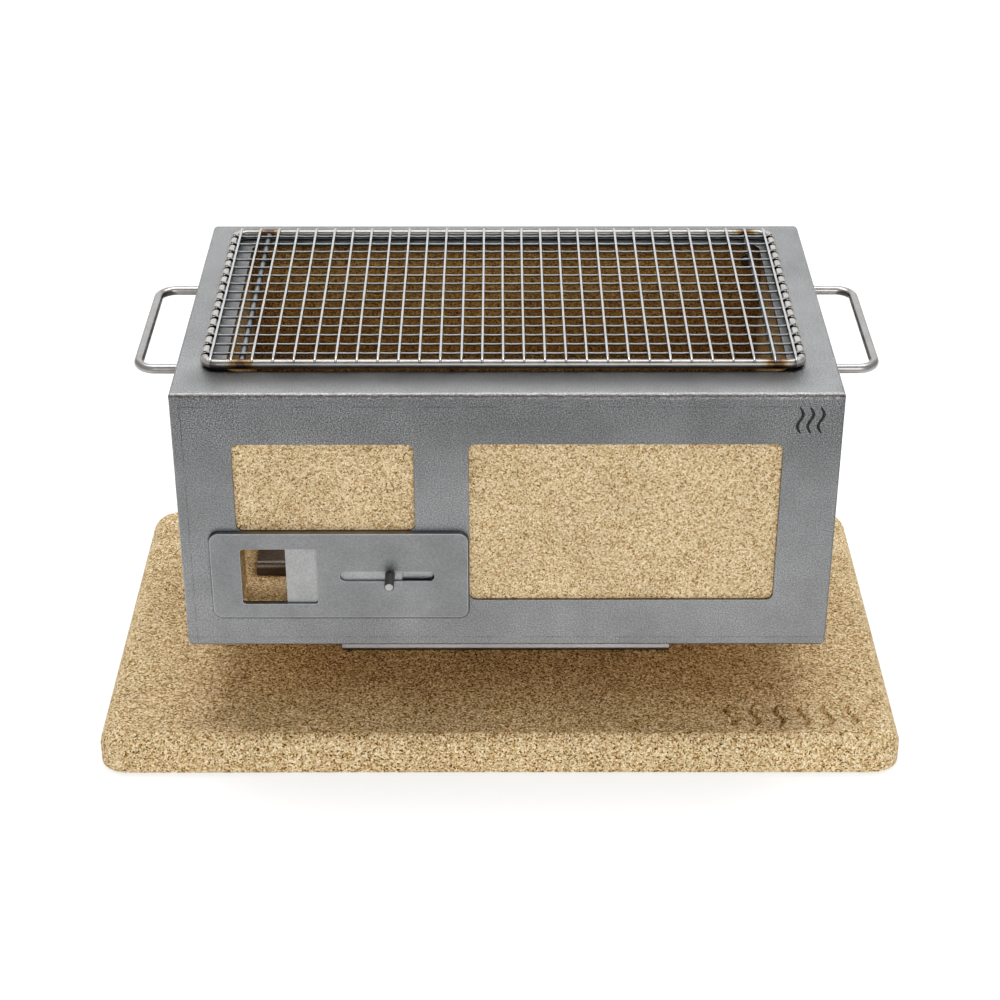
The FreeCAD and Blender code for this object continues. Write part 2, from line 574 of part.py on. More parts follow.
def make_grate_stiffeners():
    """Two rods from the front rod to the rear rod, under the wires."""
    start_y = GRATE_ENDS[0] + GRATE_ROD_RADIUS - WELD_SINK
    length = 2 * (GRATE_HALF_DEPTH - GRATE_ROD_RADIUS + WELD_SINK)
    return Part.makeCompound([cylinder((x, start_y, STIFFENER_Z), Y_AXIS, STIFFENER_RADIUS, length)
                              for x in STIFFENER_X])


# ---- Export ---------------------------------------------------------------------------------------------

os.makedirs("parts", exist_ok=True)
export("base_board", make_base_board(), BOARD_PLACE)
export("front_top_panel", make_front_top_panel())
export("side_rear_shell", make_side_rear_shell())
export("base_plate", make_base_plate())
front_foot = make_front_foot()
export("front_foot", front_foot)
export("rear_foot", make_rear_foot(front_foot))
export("foot_bolts", make_foot_bolts())
export("foot_nuts", make_foot_nuts())
export("vent_face_plate", make_vent_face_plate())
export("vent_shutter", make_vent_shutter())
export("vent_stud", make_vent_stud())
export("lining_front", make_lining_front())
export("lining_rear", make_lining_rear())
export("lining_left", make_lining_side((INSIDE_X[0], FIREBOX_X[0]),
                                       (INSIDE_X[0] - 1, INSIDE_X[0] + NUT_POCKET_DEPTH)))
export("lining_right", make_lining_side((FIREBOX_X[1], INSIDE_X[1]),
                                        (INSIDE_X[1] - NUT_POCKET_DEPTH, INSIDE_X[1] + 1)))
export("lining_floor", make_lining_floor())
export("lining_screws", make_lining_screws())
for side_name, side in (("left", -1), ("right", 1)):
    export(side_name + "_handle", make_handle(side))
    export(side_name + "_handle_washers", make_handle_washers(side))
    export(side_name + "_handle_nuts", make_handle_nuts(side))
export("charcoal_grate", make_charcoal_grate())
export("grate_frame", make_grate_frame())
export("grate_cross_wires", make_grate_cross_wires())
export("grate_long_wires", make_grate_long_wires())
export("grate_stiffeners", make_grate_stiffeners())
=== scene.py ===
import json
import math
import random

import bpy
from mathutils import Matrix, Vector, noise


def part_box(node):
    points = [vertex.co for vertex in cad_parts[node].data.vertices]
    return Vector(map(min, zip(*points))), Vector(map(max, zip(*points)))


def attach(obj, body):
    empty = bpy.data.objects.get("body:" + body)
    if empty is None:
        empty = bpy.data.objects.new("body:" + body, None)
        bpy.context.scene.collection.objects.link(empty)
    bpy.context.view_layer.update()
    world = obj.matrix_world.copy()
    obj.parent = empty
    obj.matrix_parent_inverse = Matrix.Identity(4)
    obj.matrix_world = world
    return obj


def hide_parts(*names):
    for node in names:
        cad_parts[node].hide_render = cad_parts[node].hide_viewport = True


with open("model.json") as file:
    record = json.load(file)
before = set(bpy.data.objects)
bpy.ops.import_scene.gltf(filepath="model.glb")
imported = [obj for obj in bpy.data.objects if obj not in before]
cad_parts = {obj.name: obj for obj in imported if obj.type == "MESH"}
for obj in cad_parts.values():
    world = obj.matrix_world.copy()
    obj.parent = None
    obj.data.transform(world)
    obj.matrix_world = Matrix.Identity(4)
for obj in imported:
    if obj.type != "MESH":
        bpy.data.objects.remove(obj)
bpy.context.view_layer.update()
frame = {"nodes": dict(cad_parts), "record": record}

MM = 0.001
SEED = 41

# ---- Camera ---------------------------------------------------------------------------------------------

CAMERA_FROM_FRONT_EDGE = Vector((-5.65, -1162.7, 605.1)) * MM
CAMERA_DOWN = math.radians(30.195)
CAMERA_TURN = math.radians(-0.072)
CAMERA_LENS = 80.045
CAMERA_SENSOR = 36.0


def top_front_edge():
    """The middle of the firebox's top front edge."""
    low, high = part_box("front_top_panel")
    return Vector(((low.x + high.x) / 2, low.y, high.z))


def make_camera():
    data = bpy.data.cameras.new("camera")
    data.lens = CAMERA_LENS
    data.sensor_width = CAMERA_SENSOR
    data.clip_start = 0.01
    data.clip_end = 50.0
    camera = bpy.data.objects.new("camera", data)
    camera.location = top_front_edge() + CAMERA_FROM_FRONT_EDGE
    camera.rotation_euler = (math.pi / 2 - CAMERA_DOWN, 0.0, CAMERA_TURN)
    bpy.context.scene.collection.objects.link(camera)
    bpy.context.scene.camera = camera


# ---- Node helpers ---------------------------------------------------------------------------------------

# Blender numbers the sockets of a Mix node that mixes colours.
MIX_FACTOR, MIX_A, MIX_B = 0, 6, 7
MIX_RESULT = 2


class Nodes:
    """Builds one material's nodes. A number or colour given to a method may also be an output socket."""

    def __init__(self, name):
        self.material = bpy.data.materials.new(name)
        self.material.use_nodes = True
        self.tree = self.material.node_tree
        self.shader = self.tree.nodes["Principled BSDF"]
        self.place = self.add("ShaderNodeTexCoord").outputs["Object"]

    def feed(self, socket, value):
        if isinstance(value, bpy.types.NodeSocket):
            self.tree.links.new(value, socket)
        else:
            socket.default_value = value

    def add(self, kind, inputs=None, **settings):
        node = self.tree.nodes.new(kind)
        for key, value in settings.items():
            setattr(node, key, value)
        for key, value in (inputs or {}).items():
            self.feed(node.inputs[key], value)
        return node

    def link(self, socket, name):
        self.tree.links.new(socket, self.shader.inputs[name])

    def set(self, name, value):
        self.shader.inputs[name].default_value = value

    def stretched(self, scale):
        return self.add("ShaderNodeMapping", {"Vector": self.place, "Scale": scale}).outputs["Vector"]

    def noise(self, size, detail=2.0, roughness=0.5, place=None):
        """Noise whose blobs are about size metres across, 0 to 1."""
        return self.add("ShaderNodeTexNoise", {
            "Vector": place or self.place, "Scale": 1.0 / size, "Detail": detail,
            "Roughness": roughness}).outputs["Fac"]

    def cells(self, size, output="Color", place=None):
        """Cells about size metres across: a random colour for each, or the distance from its middle."""
        node = self.add("ShaderNodeTexVoronoi", {"Vector": place or self.place, "Scale": 1.0 / size})
        return node.outputs[output]

    def ramp(self, value, stops, smooth=True):
        """The colour of the stops at that value, blended between them or held up to the next."""
        node = self.add("ShaderNodeValToRGB", {"Fac": value})
        node.color_ramp.interpolation = "EASE" if smooth else "CONSTANT"
        elements = node.color_ramp.elements
        while len(elements) < len(stops):
            elements.new(0.5)
        for element, (position, colour) in zip(elements, stops):
            element.position = position
            element.color = (*colour, 1.0)
        return node.outputs["Color"]

    def span(self, value, low, high, to_low=0.0, to_high=1.0):
        """value's span low to high laid onto another span, and held at its ends."""
        return self.add("ShaderNodeMapRange", {
            "Value": value, "From Min": low, "From Max": high, "To Min": to_low,
            "To Max": to_high}).outputs["Result"]

    def math(self, operation, a, b=0.0):
        return self.add("ShaderNodeMath", {0: a, 1: b}, operation=operation).outputs["Value"]

    def times(self, a, b):
        return self.math("MULTIPLY", a, b)

    def minus(self, a, b):
        return self.math("SUBTRACT", a, b)

    def larger(self, a, b):
        return self.math("MAXIMUM", a, b)

    def mix(self, factor, a, b, blend="MIX"):
        """Colour a with colour b laid on it as strongly as the factor says."""
        node = self.add("ShaderNodeMix", {MIX_FACTOR: factor}, data_type="RGBA", blend_type=blend)
        for key, colour in ((MIX_A, a), (MIX_B, b)):
            plain = not isinstance(colour, bpy.types.NodeSocket)
            self.feed(node.inputs[key], (*colour, 1.0) if plain else colour)
        return node.outputs[MIX_RESULT]

    def split(self, vector):
        node = self.add("ShaderNodeSeparateXYZ", {"Vector": vector})
        return node.outputs["X"], node.outputs["Y"], node.outputs["Z"]

    def bump(self, height, depth, strength=1.0, under=None):
        inputs = {"Height": height, "Distance": depth, "Strength": strength}
        if under is not None:
            inputs["Normal"] = under
        return self.add("ShaderNodeBump", inputs).outputs["Normal"]


def grey(value, warm=0.0):
    return (value * (1 + warm), value, value * (1 - warm))


def line_at(m, value, at, half_width):
    """1 where value is at the given place, fading to 0 over the half width again."""
    away = m.math("ABSOLUTE", m.minus(value, at))
    return m.span(away, half_width, 2 * half_width, 1.0, 0.0)


def outline(m, x_span, z_span, radius):
    """Distance from the outline of an upright rounded rectangle, above 0 outside it."""
    x, _, z = m.split(m.place)
    sides = []
    for value, (low, high) in ((x, x_span), (z, z_span)):
        off_centre = m.math("ABSOLUTE", m.minus(value, (low + high) / 2))
        sides.append(m.minus(off_centre, (high - low) / 2 - radius))
    outside = [m.larger(side, 0.0) for side in sides]
    squares = [m.math("POWER", side, 2.0) for side in outside]
    corner = m.math("SQRT", m.math("ADD", *squares))
    inside = m.math("MINIMUM", m.larger(*sides), 0.0)
    return m.minus(m.math("ADD", corner, inside), radius)


# ---- Sheet steel ----------------------------------------------------------------------------------------

def steel_sheet(name, shade, roughness, grain=1.0, cool=0.0, lines=None):
    """Satin steel sheet: a cloudy tone, a fine mottled grain and smeared gloss, and the lines if given."""
    m = Nodes(name)
    clouds = m.noise(45 * MM, 5.0, 0.62)
    mottle = m.noise(0.9 * MM, 2.0, 0.6)
    fine = m.noise(0.4 * MM, 2.0, 0.6)
    tone = m.ramp(clouds, [(0.3, grey(shade * 0.9, -cool)), (0.7, grey(shade * 1.07, -cool))])
    speckle = m.ramp(mottle, [(0.36, grey(1 - 0.22 * grain)), (0.64, grey(1 + 0.22 * grain))])
    colour = m.mix(1.0, tone, speckle, "MULTIPLY")
    if lines:
        colour = lines(m, colour, shade)
    m.link(colour, "Base Color")
    smear = m.noise(18 * MM, 4.0, 0.6, m.stretched((1.0, 1.0, 0.35)))
    smeared = m.span(smear, 0.3, 0.7, roughness - 0.04, roughness + 0.04)
    m.link(m.math("ADD", smeared, m.span(mottle, 0.3, 0.7, -0.04, 0.04)), "Roughness")
    m.set("Metallic", 1.0)
    coarse = m.bump(mottle, 0.3 * MM * grain, 1.0)
    m.link(m.bump(fine, 0.012 * MM * grain, 1.0, coarse), "Normal")
    return m.material


# The vent plate's corner radius, and its two cuts as spans from its lower left corner.
PLATE_CORNER = 6 * MM
VENT_HOLE = {"x": (18.7 * MM, 65.0 * MM), "z": (10.2 * MM, 49.5 * MM), "corner": 2 * MM}
VENT_SLOT = {"x": (79.4 * MM, 137.3 * MM), "z": (26.6 * MM, 33.5 * MM), "corner": 3.4 * MM}


def plate_outline(m, further_down=0.0):
    low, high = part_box("vent_face_plate")
    return outline(m, (low.x, high.x), (low.z - further_down, high.z), PLATE_CORNER)


def cut_outline(m, cut):
    low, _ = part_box("vent_face_plate")
    x_span = [low.x + x for x in cut["x"]]
    z_span = [low.z + z for z in cut["z"]]
    return outline(m, x_span, z_span, cut["corner"])


def plate_highlights(m, colour, _shade):
    """Painted highlights along the deburred edges of the vent plate, its air hole and its slot."""
    rim = line_at(m, plate_outline(m), -0.3 * MM, 0.25 * MM)
    hole = line_at(m, cut_outline(m, VENT_HOLE), 0.05 * MM, 0.3 * MM)
    slot = line_at(m, cut_outline(m, VENT_SLOT), 0.05 * MM, 0.25 * MM)
    bright = m.larger(rim, m.larger(hole, slot))
    # Painted highlight: a pale bluish colour along the edges.
    return m.mix(m.times(bright, 0.27), colour, (0.62, 0.65, 0.7))


def on_casing_front(m):
    """1 within 1 mm of the casing's front, and 0 further back."""
    low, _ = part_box("front_top_panel")
    _, y, _ = m.split(m.place)
    return m.span(y, low.y + 1 * MM, low.y + 1.1 * MM, 1.0, 0.0)


def shaded_peeled_upper_front(m, colour, on_front):
    """A darker tone, painted shade on the upper front, and a patchy orange peel, which come on towards the
    top of the front.
    """
    _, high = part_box("front_top_panel")
    _, _, z = m.split(m.place)
    starts, full = high.z - 62 * MM, high.z - 22 * MM
    near_fold = m.times(m.span(z, starts, full), on_front)
    # Painted shade: the upper front is painted darker.
    colour = m.mix(near_fold, colour, grey(0.84), "MULTIPLY")
    peel = m.ramp(m.noise(0.75 * MM, 1.0, 0.5), [(0.4, grey(0.68)), (0.6, grey(1.34))])
    peeled = m.mix(1.0, colour, peel, "MULTIPLY")
    patchy = m.span(m.noise(60 * MM, 2.0), 0.35, 0.6, 0.55, 1.0)
    return m.mix(m.times(near_fold, patchy), colour, peeled)


def shadowed_rim_top(m, colour, shade):
    """A soft painted shadow on the top in front of the cooking grate, which fades out towards both ends."""
    low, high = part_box("front_top_panel")
    x, y, z = m.split(m.place)
    behind_fold = m.span(y, low.y + 5 * MM, low.y + 19 * MM)
    before_mouth = m.span(y, low.y + 30 * MM, low.y + 40 * MM, 1.0, 0.0)
    inside_ends = m.span(m.math("ABSOLUTE", x), high.x - 34 * MM, high.x - 10 * MM, 1.0, 0.0)
    on_top = m.span(z, high.z - 0.5 * MM, high.z - 0.2 * MM)
    rim_shadow = m.times(m.times(m.times(behind_fold, before_mouth), inside_ends), on_top)
    # Painted shadow: the rim in front of the grate is painted darker.
    return m.mix(m.times(rim_shadow, 0.48), colour, grey(shade * 0.25, 0.02))


def dimmed_fold(m, colour, shade):
    """Painted darker in broken patches along the fold between the front and the top, which dims the fold's
    highlight.
    """
    low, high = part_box("front_top_panel")
    _, y, z = m.split(m.place)
    starts, full = 3.4 * MM, 2.2 * MM
    near_top = m.span(z, high.z - starts, high.z - full)
    near_front = m.span(y, low.y + full, low.y + starts, 1.0, 0.0)
    broken = m.span(m.noise(1.2 * MM, 2.0, 0.6), 0.38, 0.62, 0.3, 0.82)
    # Painted shade over the fold's highlight.
    return m.mix(m.times(m.times(near_top, near_front), broken), colour, grey(shade * 0.35, 0.06))


def lightened_under_plate(m, colour, on_front):
    """Painted light: the steel that the vent plate covers is painted lighter, so the recess seen through its
    slot is less dark.
    """
    covered = m.times(m.span(plate_outline(m), -1.5 * MM, -1 * MM, 1.0, 0.0), on_front)
    # Painted light in the recess behind the slot.
    return m.mix(covered, colour, grey(0.4))


def witness_lines(m):
    """Faint broken lines inside the front's left and bottom edges and below its fold."""
    low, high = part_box("front_top_panel")
    x, _, z = m.split(m.place)
    inset, below_fold = 6.2 * MM, 8 * MM
    left = line_at(m, x, low.x + inset, 0.22 * MM)
    bottom = line_at(m, z, low.z + inset, 0.22 * MM)
    top = line_at(m, z, high.z - below_fold, 0.26 * MM)
    broken = m.span(m.noise(14 * MM, 2.0), 0.42, 0.55)
    return m.times(m.times(m.larger(m.larger(left, bottom), top), broken), 0.3)


def plate_shadow_line(m):
    """A painted shadow on the casing round the vent plate, widest below it."""
    round_plate = m.span(plate_outline(m, 1.75 * MM), 0.35 * MM, 1.1 * MM, 1.0, 0.0)
    beside_plate = m.span(plate_outline(m), -1 * MM, -0.5 * MM)
    return m.times(m.times(round_plate, beside_plate), 0.62)


def edge_lines(m):
    """Half-strength dark lines at the front's right end and along its bottom edge."""
    low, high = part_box("front_top_panel")
    x, _, z = m.split(m.place)
    starts, full = 1.3 * MM, 0.5 * MM
    right = m.span(x, high.x - starts, high.x - full, 0.0, 0.5)
    bottom = m.span(z, low.z + full, low.z + starts, 0.5, 0.0)
    return m.larger(right, bottom)


def casing_lines(m, colour, shade):
    """The casing's marks: painted shade with orange peel on the upper front, a painted shadow on the rim, a
    darkened fold, painted light under the plate, thin lines and a painted shadow round the plate.
    """
    on_front = on_casing_front(m)
    colour = shaded_peeled_upper_front(m, colour, on_front)
    colour = shadowed_rim_top(m, colour, shade)
    colour = dimmed_fold(m, colour, shade)
    colour = lightened_under_plate(m, colour, on_front)
    # Thin lines, with the painted shadow round the vent plate.
    dark = m.larger(witness_lines(m), m.larger(plate_shadow_line(m), edge_lines(m)))
    return m.mix(m.times(dark, on_front), colour, grey(shade * 0.25))


# ---- Rod and wire steel ---------------------------------------------------------------------------------

WIRE_RADIUS = 0.8 * MM
LONG_WIRES = 15
CROSS_WIRES = 29
SIDE_ROD_SPAN = 5.2 * MM         # from the long wires' ends in to where the side rods' colours stop
BAND_LEAD = 1.9 * MM              # from a long wire's middle forward to the middle of its dark band
BAND_HALF, BAND_END = 0.075, 0.105  # half of the dark band and where it has faded out, in wire pitches


def heat_colour(m, points, tone):
    """Oxide colours round weld points, from straw through brown and blue to a dull dark scale."""
    heat = None
    for point, reach in points:
        away = m.add("ShaderNodeVectorMath", {0: m.place, 1: point}, operation="DISTANCE").outputs["Value"]
        closeness = m.span(away, 0.0, reach, 1.0, 0.0)
        heat = closeness if heat is None else m.larger(heat, closeness)
    ragged = m.math("ADD", heat, m.span(m.noise(4 * MM, 3.0), 0.3, 0.7, -0.14, 0.14))
    scale_colour = m.ramp(ragged, [
        (0.0, (1.0, 1.0, 1.0)), (0.3, (0.92, 0.85, 0.7)), (0.5, (0.66, 0.5, 0.33)),
        (0.66, (0.42, 0.29, 0.2)), (0.8, (0.36, 0.34, 0.36)), (0.92, (0.5, 0.27, 0.15)),
        (1.0, (0.22, 0.17, 0.14))])
    return m.mix(1.0, tone, scale_colour, "MULTIPLY")


def on_side_rods(m):
    """1 on the cooking grate's left and right rods, and 0 between them."""
    low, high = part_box("grate_long_wires")
    x, _, _ = m.split(m.place)
    out = m.larger(m.minus(low.x + SIDE_ROD_SPAN, x), m.minus(x, high.x - SIDE_ROD_SPAN))
    return m.span(out, 0.0, 0.1 * MM)


def wire_shadow_bands(m):
    """1 in the dark bands beside the long wires on the side rods, a painted shadow and dark reflection of
    each wire, and 0 elsewhere.
    """
    low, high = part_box("grate_long_wires")
    pitch = (high.y - low.y - 2 * WIRE_RADIUS) / (LONG_WIRES - 1)
    _, y, _ = m.split(m.place)
    first = low.y + WIRE_RADIUS - BAND_LEAD
    phase = m.math("FRACT", m.math("DIVIDE", m.minus(y, first), pitch))
    from_half = m.math("ABSOLUTE", m.minus(phase, 0.5))
    band = m.span(from_half, 0.5 - BAND_END, 0.5 - BAND_HALF)
    from_first = m.span(y, low.y - 2 * MM, low.y - 1.9 * MM)
    to_last = m.span(y, high.y - 0.1 * MM, high.y, 1.0, 0.0)
    return m.times(m.times(band, on_side_rods(m)), m.times(from_first, to_last))


def side_rod_sheen(m):
    """Above 0 on the frame's left and right rods, where a painted sheen brightens them, and 0 elsewhere."""
    return m.times(m.span(m.noise(3 * MM, 2.0), 0.3, 0.6, 0.45, 0.95), on_side_rods(m))


def stud_thread_shade(m):
    """Above 0 on the stud's thread, which is painted darker as its shade, and 0 on its cut end."""
    low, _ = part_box("vent_stud")
    _, y, _ = m.split(m.place)
    return m.times(m.span(y, low.y + 0.15 * MM, low.y + 0.3 * MM), 0.66)


def weld_points():
    """Where the grate's stiffeners meet the front and rear rods, with how far the heat colours reach."""
    low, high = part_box("grate_stiffeners")
    radius = (high.z - low.z) / 2
    past_end, below_top, reach = 3 * MM, 2 * MM, 11 * MM
    points = []
    for x in (low.x + radius, high.x - radius):
        for y in (low.y - past_end, high.y + past_end):
            points.append(((x, y, high.z - below_top), reach))
    return points


def steel_rod(name, shade, roughness, tints=(), marks=None, warm=0.0, sheen=None):
    """Drawn round stock, dull in patches. tints are heat colours, sheen a painted sheen and marks painted
    shade.
    """
    m = Nodes(name)
    dull = m.noise(9 * MM, 3.0, 0.6)
    tone = m.ramp(dull, [(0.3, grey(shade * 0.88, warm)), (0.7, grey(shade * 1.06, warm))])
    if tints:
        tone = heat_colour(m, tints, tone)
    if sheen:
        # Painted sheen on the side rods.
        tone = m.mix(sheen(m), tone, grey(0.52, 0.05))
    if marks:
        # Painted shade: the marks go near black.
        tone = m.mix(marks(m), tone, grey(0.012, 0.3))
    m.link(m.span(dull, 0.3, 0.7, roughness - 0.04, roughness + 0.06), "Roughness")
    m.link(tone, "Base Color")
    m.set("Metallic", 1.0)
    m.link(m.bump(m.noise(0.7 * MM, 3.0, 0.6), 0.015 * MM, 1.0), "Normal")
    return m.material


def etched(name, shade):
    """Dark etched steel, slightly uneven."""
    m = Nodes(name)
    uneven = [(0.3, grey(shade * 0.7)), (0.7, grey(shade * 1.3))]
    m.link(m.ramp(m.noise(0.6 * MM, 2.0), uneven), "Base Color")
    m.set("Metallic", 1.0)
    m.set("Roughness", 0.6)
    return m.material


# ---- Vermiculite ----------------------------------------------------------------------------------------

LINING_TAN = (0.63, 0.495, 0.325)
BOARD_TAN = (0.64, 0.5, 0.322)
# Painted shade: a darker, warmer tan for the rear lining inside the firebox.
SHADED_REAR_TAN = (0.53, 0.38, 0.185)
LINING_CONTRAST = 0.85


def vermiculite(name, tan, contrast=LINING_CONTRAST, flake=1.0 * MM, grit_depth=0.35 * MM):
    """Pressed vermiculite board: golden flakes, dark and rusty specks, pale mica glints and open pores."""
    m = Nodes(name)
    red, green, blue = tan
    spread = contrast / LINING_CONTRAST

    def tinted(r, g, b):
        return (red * r, green * g, blue * b)

    def varied(r, g, b):
        return tinted(1 + (r - 1) * spread, 1 + (g - 1) * spread, 1 + (b - 1) * spread)

    def specks(colour, value, share, strength, tone):
        """Lays the tone on the share of the cells whose value is lowest."""
        chosen = m.ramp(value, [(0.0, grey(1.0)), (share, grey(0.0))], smooth=False)
        return m.mix(m.times(chosen, strength * contrast), colour, tone)

    flakes, kind, _ = m.split(m.cells(flake))
    small_flakes, _, _ = m.split(m.cells(flake * 0.5))
    crumbs, rust, glint = m.split(m.cells(flake * 0.7, place=m.stretched((1.0, 1.3, 0.8))))
    base = m.ramp(flakes, [(0.0, varied(0.6, 0.55, 0.44)), (0.35, varied(0.9, 0.88, 0.84)),
                           (0.7, varied(1.08, 1.09, 1.1)), (1.0, varied(1.26, 1.3, 1.38))])
    fine = m.ramp(small_flakes, [(0.0, grey(0.6)), (0.5, grey(1.0)), (1.0, grey(1.3))])
    colour = m.mix(min(1.0, contrast), base, fine, "MULTIPLY")
    colour = specks(colour, crumbs, 0.07, 0.85, tinted(0.16, 0.12, 0.08))
    colour = specks(colour, rust, 0.06, 0.55, tinted(0.95, 0.62, 0.42))
    pale = m.ramp(glint, [(0.0, grey(0.0)), (0.94, grey(1.0))], smooth=False)
    colour = m.mix(m.times(pale, 0.7 * contrast), colour, tinted(1.4, 1.48, 1.7))
    patch = m.ramp(m.noise(35 * MM, 3.0), [(0.3, grey(0.95)), (0.7, grey(1.05))])
    m.link(m.mix(1.0, colour, patch, "MULTIPLY"), "Base Color")
    m.link(m.span(kind, 0.0, 1.0, 0.75, 0.95), "Roughness")
    m.set("Specular IOR Level", 0.2)
    grit = m.bump(m.noise(flake * 0.6, 3.0, 0.65), grit_depth, 0.8)
    pores = m.cells(flake * 0.8, "Distance")
    m.link(m.bump(pores, 0.2 * MM, 0.6, grit), "Normal")
    return m.material


# ---- Materials of the CAD nodes -------------------------------------------------------------------------

def assign(material, *names):
    for name in names:
        for slot in frame["nodes"][name].material_slots:
            slot.material = material


def nodes_of_slot(slot):
    return [entry["node"] for entry in frame["record"]["subparts"] if entry["material_slot"] == slot]


MATERIALS = {
    "casing_steel": steel_sheet("casing_steel_satin", 0.3, 0.38, 1.0, 0.012, casing_lines),
    "vent_steel": steel_sheet("vent_steel_satin", 0.29, 0.4, 0.45, 0.012, plate_highlights),
    "shutter_steel": steel_sheet("shutter_steel_satin", 0.38, 0.42, 0.4),
    "foot_steel": steel_sheet("foot_steel_satin", 0.34, 0.42, 0.3),
    "grate_sheet_steel": steel_sheet("grate_sheet_steel_dark", 0.2, 0.5, 0.6, -0.12),
    "rod_steel": steel_rod("rod_steel_drawn", 0.36, 0.32, warm=0.02),
    "wire_steel": steel_rod("wire_steel_drawn", 0.55, 0.32),
    "fastener_steel": steel_rod("fastener_steel_bright", 0.3, 0.34),
    "lining_vermiculite": vermiculite("lining_vermiculite_pressed", LINING_TAN),
    "board_vermiculite": vermiculite("board_vermiculite_pressed", BOARD_TAN, 1.15, 1.1 * MM, 0.6 * MM),
}
FRAME_ROD = steel_rod("rod_steel_welded", 0.26, 0.36, weld_points(), wire_shadow_bands, 0.03, side_rod_sheen)
# Painted shade: the long wires get a darker, cooler copy of the wire steel.
LONG_WIRE = steel_rod("wire_steel_long_shaded", 0.2, 0.36, warm=-0.03)
STUD_STEEL = steel_rod("fastener_steel_stud", 0.42, 0.3, marks=stud_thread_shade)
STIFFENER_ROD = steel_rod("rod_steel_dull", 0.27, 0.5, warm=-0.02)
# Painted shade for the rear lining.
SHADED_REAR_LINING = vermiculite("lining_vermiculite_shaded", SHADED_REAR_TAN)
TINTED_PLATE = steel_sheet("casing_steel_heat_tinted", 0.6, 0.4, 0.6, -0.28)
for slot_name, slot_material in MATERIALS.items():
    assign(slot_material, *nodes_of_slot(slot_name))
assign(FRAME_ROD, "grate_frame")
assign(STIFFENER_ROD, "grate_stiffeners")
assign(TINTED_PLATE, "base_plate")


# ---- Mesh helpers ---------------------------------------------------------------------------------------

class Shape:
    """Gathers vertices and faces of one piece."""

    def __init__(self):
        self.vertices = []
        self.faces = []

    def skin(self, first, rings, sides, flipped=False):
        """Walls between rings of vertices, which begin at vertex first, and a cap at each end."""
        for ring in range(rings - 1):
            here, there = first + ring * sides, first + (ring + 1) * sides
            for corner in range(sides):
                after = (corner + 1) % sides
                a, b, c, d = here + corner, here + after, there + after, there + corner
                self.faces.append((a, d, c, b) if flipped else (a, b, c, d))
        last = first + (rings - 1) * sides
        start, end = tuple(range(first, first + sides)), tuple(range(last, last + sides))
        self.faces.append(start if flipped else start[::-1])
        self.faces.append(end[::-1] if flipped else end)

    def tube(self, path, radii, sides=10):
        """A closed round tube along a path of points, with one radius for each point."""
        first = len(self.vertices)
        for index, point in enumerate(path):
            ahead = path[min(index + 1, len(path) - 1)] - path[max(index - 1, 0)]
            side = ahead.cross(Vector((0, 0, 1))).normalized()
            up = side.cross(ahead).normalized()
            for corner in range(sides):
                angle = 2 * math.pi * corner / sides
                offset = side * math.cos(angle) + up * math.sin(angle)
                self.vertices.append(point + offset * radii[index])
        self.skin(first, len(path), sides)

    def nugget(self, centre, half, rings=4, sides=8):
        """A small flattened ball of weld metal."""
        first = len(self.vertices)
        self.vertices.append(centre + Vector((0, 0, half.z)))
        for ring in range(1, rings):
            tilt = math.pi * ring / rings
            for corner in range(sides):
                angle = 2 * math.pi * corner / sides
                self.vertices.append(centre + Vector((half.x * math.sin(tilt) * math.cos(angle),
                                                      half.y * math.sin(tilt) * math.sin(angle),
                                                      half.z * math.cos(tilt))))
        self.vertices.append(centre - Vector((0, 0, half.z)))
        bottom = len(self.vertices) - 1
        for corner in range(sides):
            after = (corner + 1) % sides
            self.faces.append((first, first + 1 + corner, first + 1 + after))
            for ring in range(rings - 2):
                here = first + 1 + ring * sides
                there = here + sides
                self.faces.append((here + corner, there + corner, there + after, here + after))
            here = first + 1 + (rings - 2) * sides
            self.faces.append((here + corner, bottom, here + after))

    def piece(self, name, material, body, smooth=True):
        mesh = bpy.data.meshes.new(name)
        mesh.from_pydata(self.vertices, [], self.faces)
        mesh.materials.append(material)
        return add_piece(name, mesh, body, smooth)


def add_piece(name, mesh, body, smooth=True):
    mesh.validate()
    if smooth:
        mesh.shade_smooth()
    made = bpy.data.objects.new(name, mesh)
    bpy.context.scene.collection.objects.link(made)
    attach(made, body)
    return made


def spaced(low, high, step):
    """Even places from low to high, both included, about a step apart."""
    count = max(1, round((high - low) / step))
    return [low + (high - low) * index / count for index in range(count + 1)]


# ---- Base board -----------------------------------------------------------------------------------------

BOARD_CORNER = 18.0 * MM
ROUND_OVER = 15.0 * MM
ROUND_OVER_TURN = math.radians(64)
ROUND_OVER_ROWS = 12
BOARD_STEP = 1.3 * MM
GRAIN_SIZE = 2.4 * MM
GRAIN_DEPTH = 0.22 * MM
EDGE_BAND = 1 * MM               # as far in from the edge as the grain only goes inwards
SIDE_FOOT = 0.7 * MM             # up from the floor to where the sides turn in to the underside
UNDERSIDE_INSET = 0.5 * MM
STROKES = {"x": (139 * MM, 232 * MM), "y": (-129 * MM, -106 * MM)}
STROKE_STEP = 0.6 * MM
STROKE_COUNT = 6
STROKE_BEND = 2.4 * MM
STROKE_HALF_WIDTH = 1.8 * MM
STROKE_DEPTH = 3.2 * MM


def grain(place, size):
    return noise.noise(place * (1 / size)) + 0.5 * noise.noise(place * (2.3 / size))


def round_over_insets():
    """How far in from the board's edge each row of the rounded top edge lies."""
    last = ROUND_OVER_ROWS - 1
    turns = [ROUND_OVER_TURN * index / last for index in range(ROUND_OVER_ROWS)]
    return [ROUND_OVER * (1 - math.cos(turn)) for turn in turns]


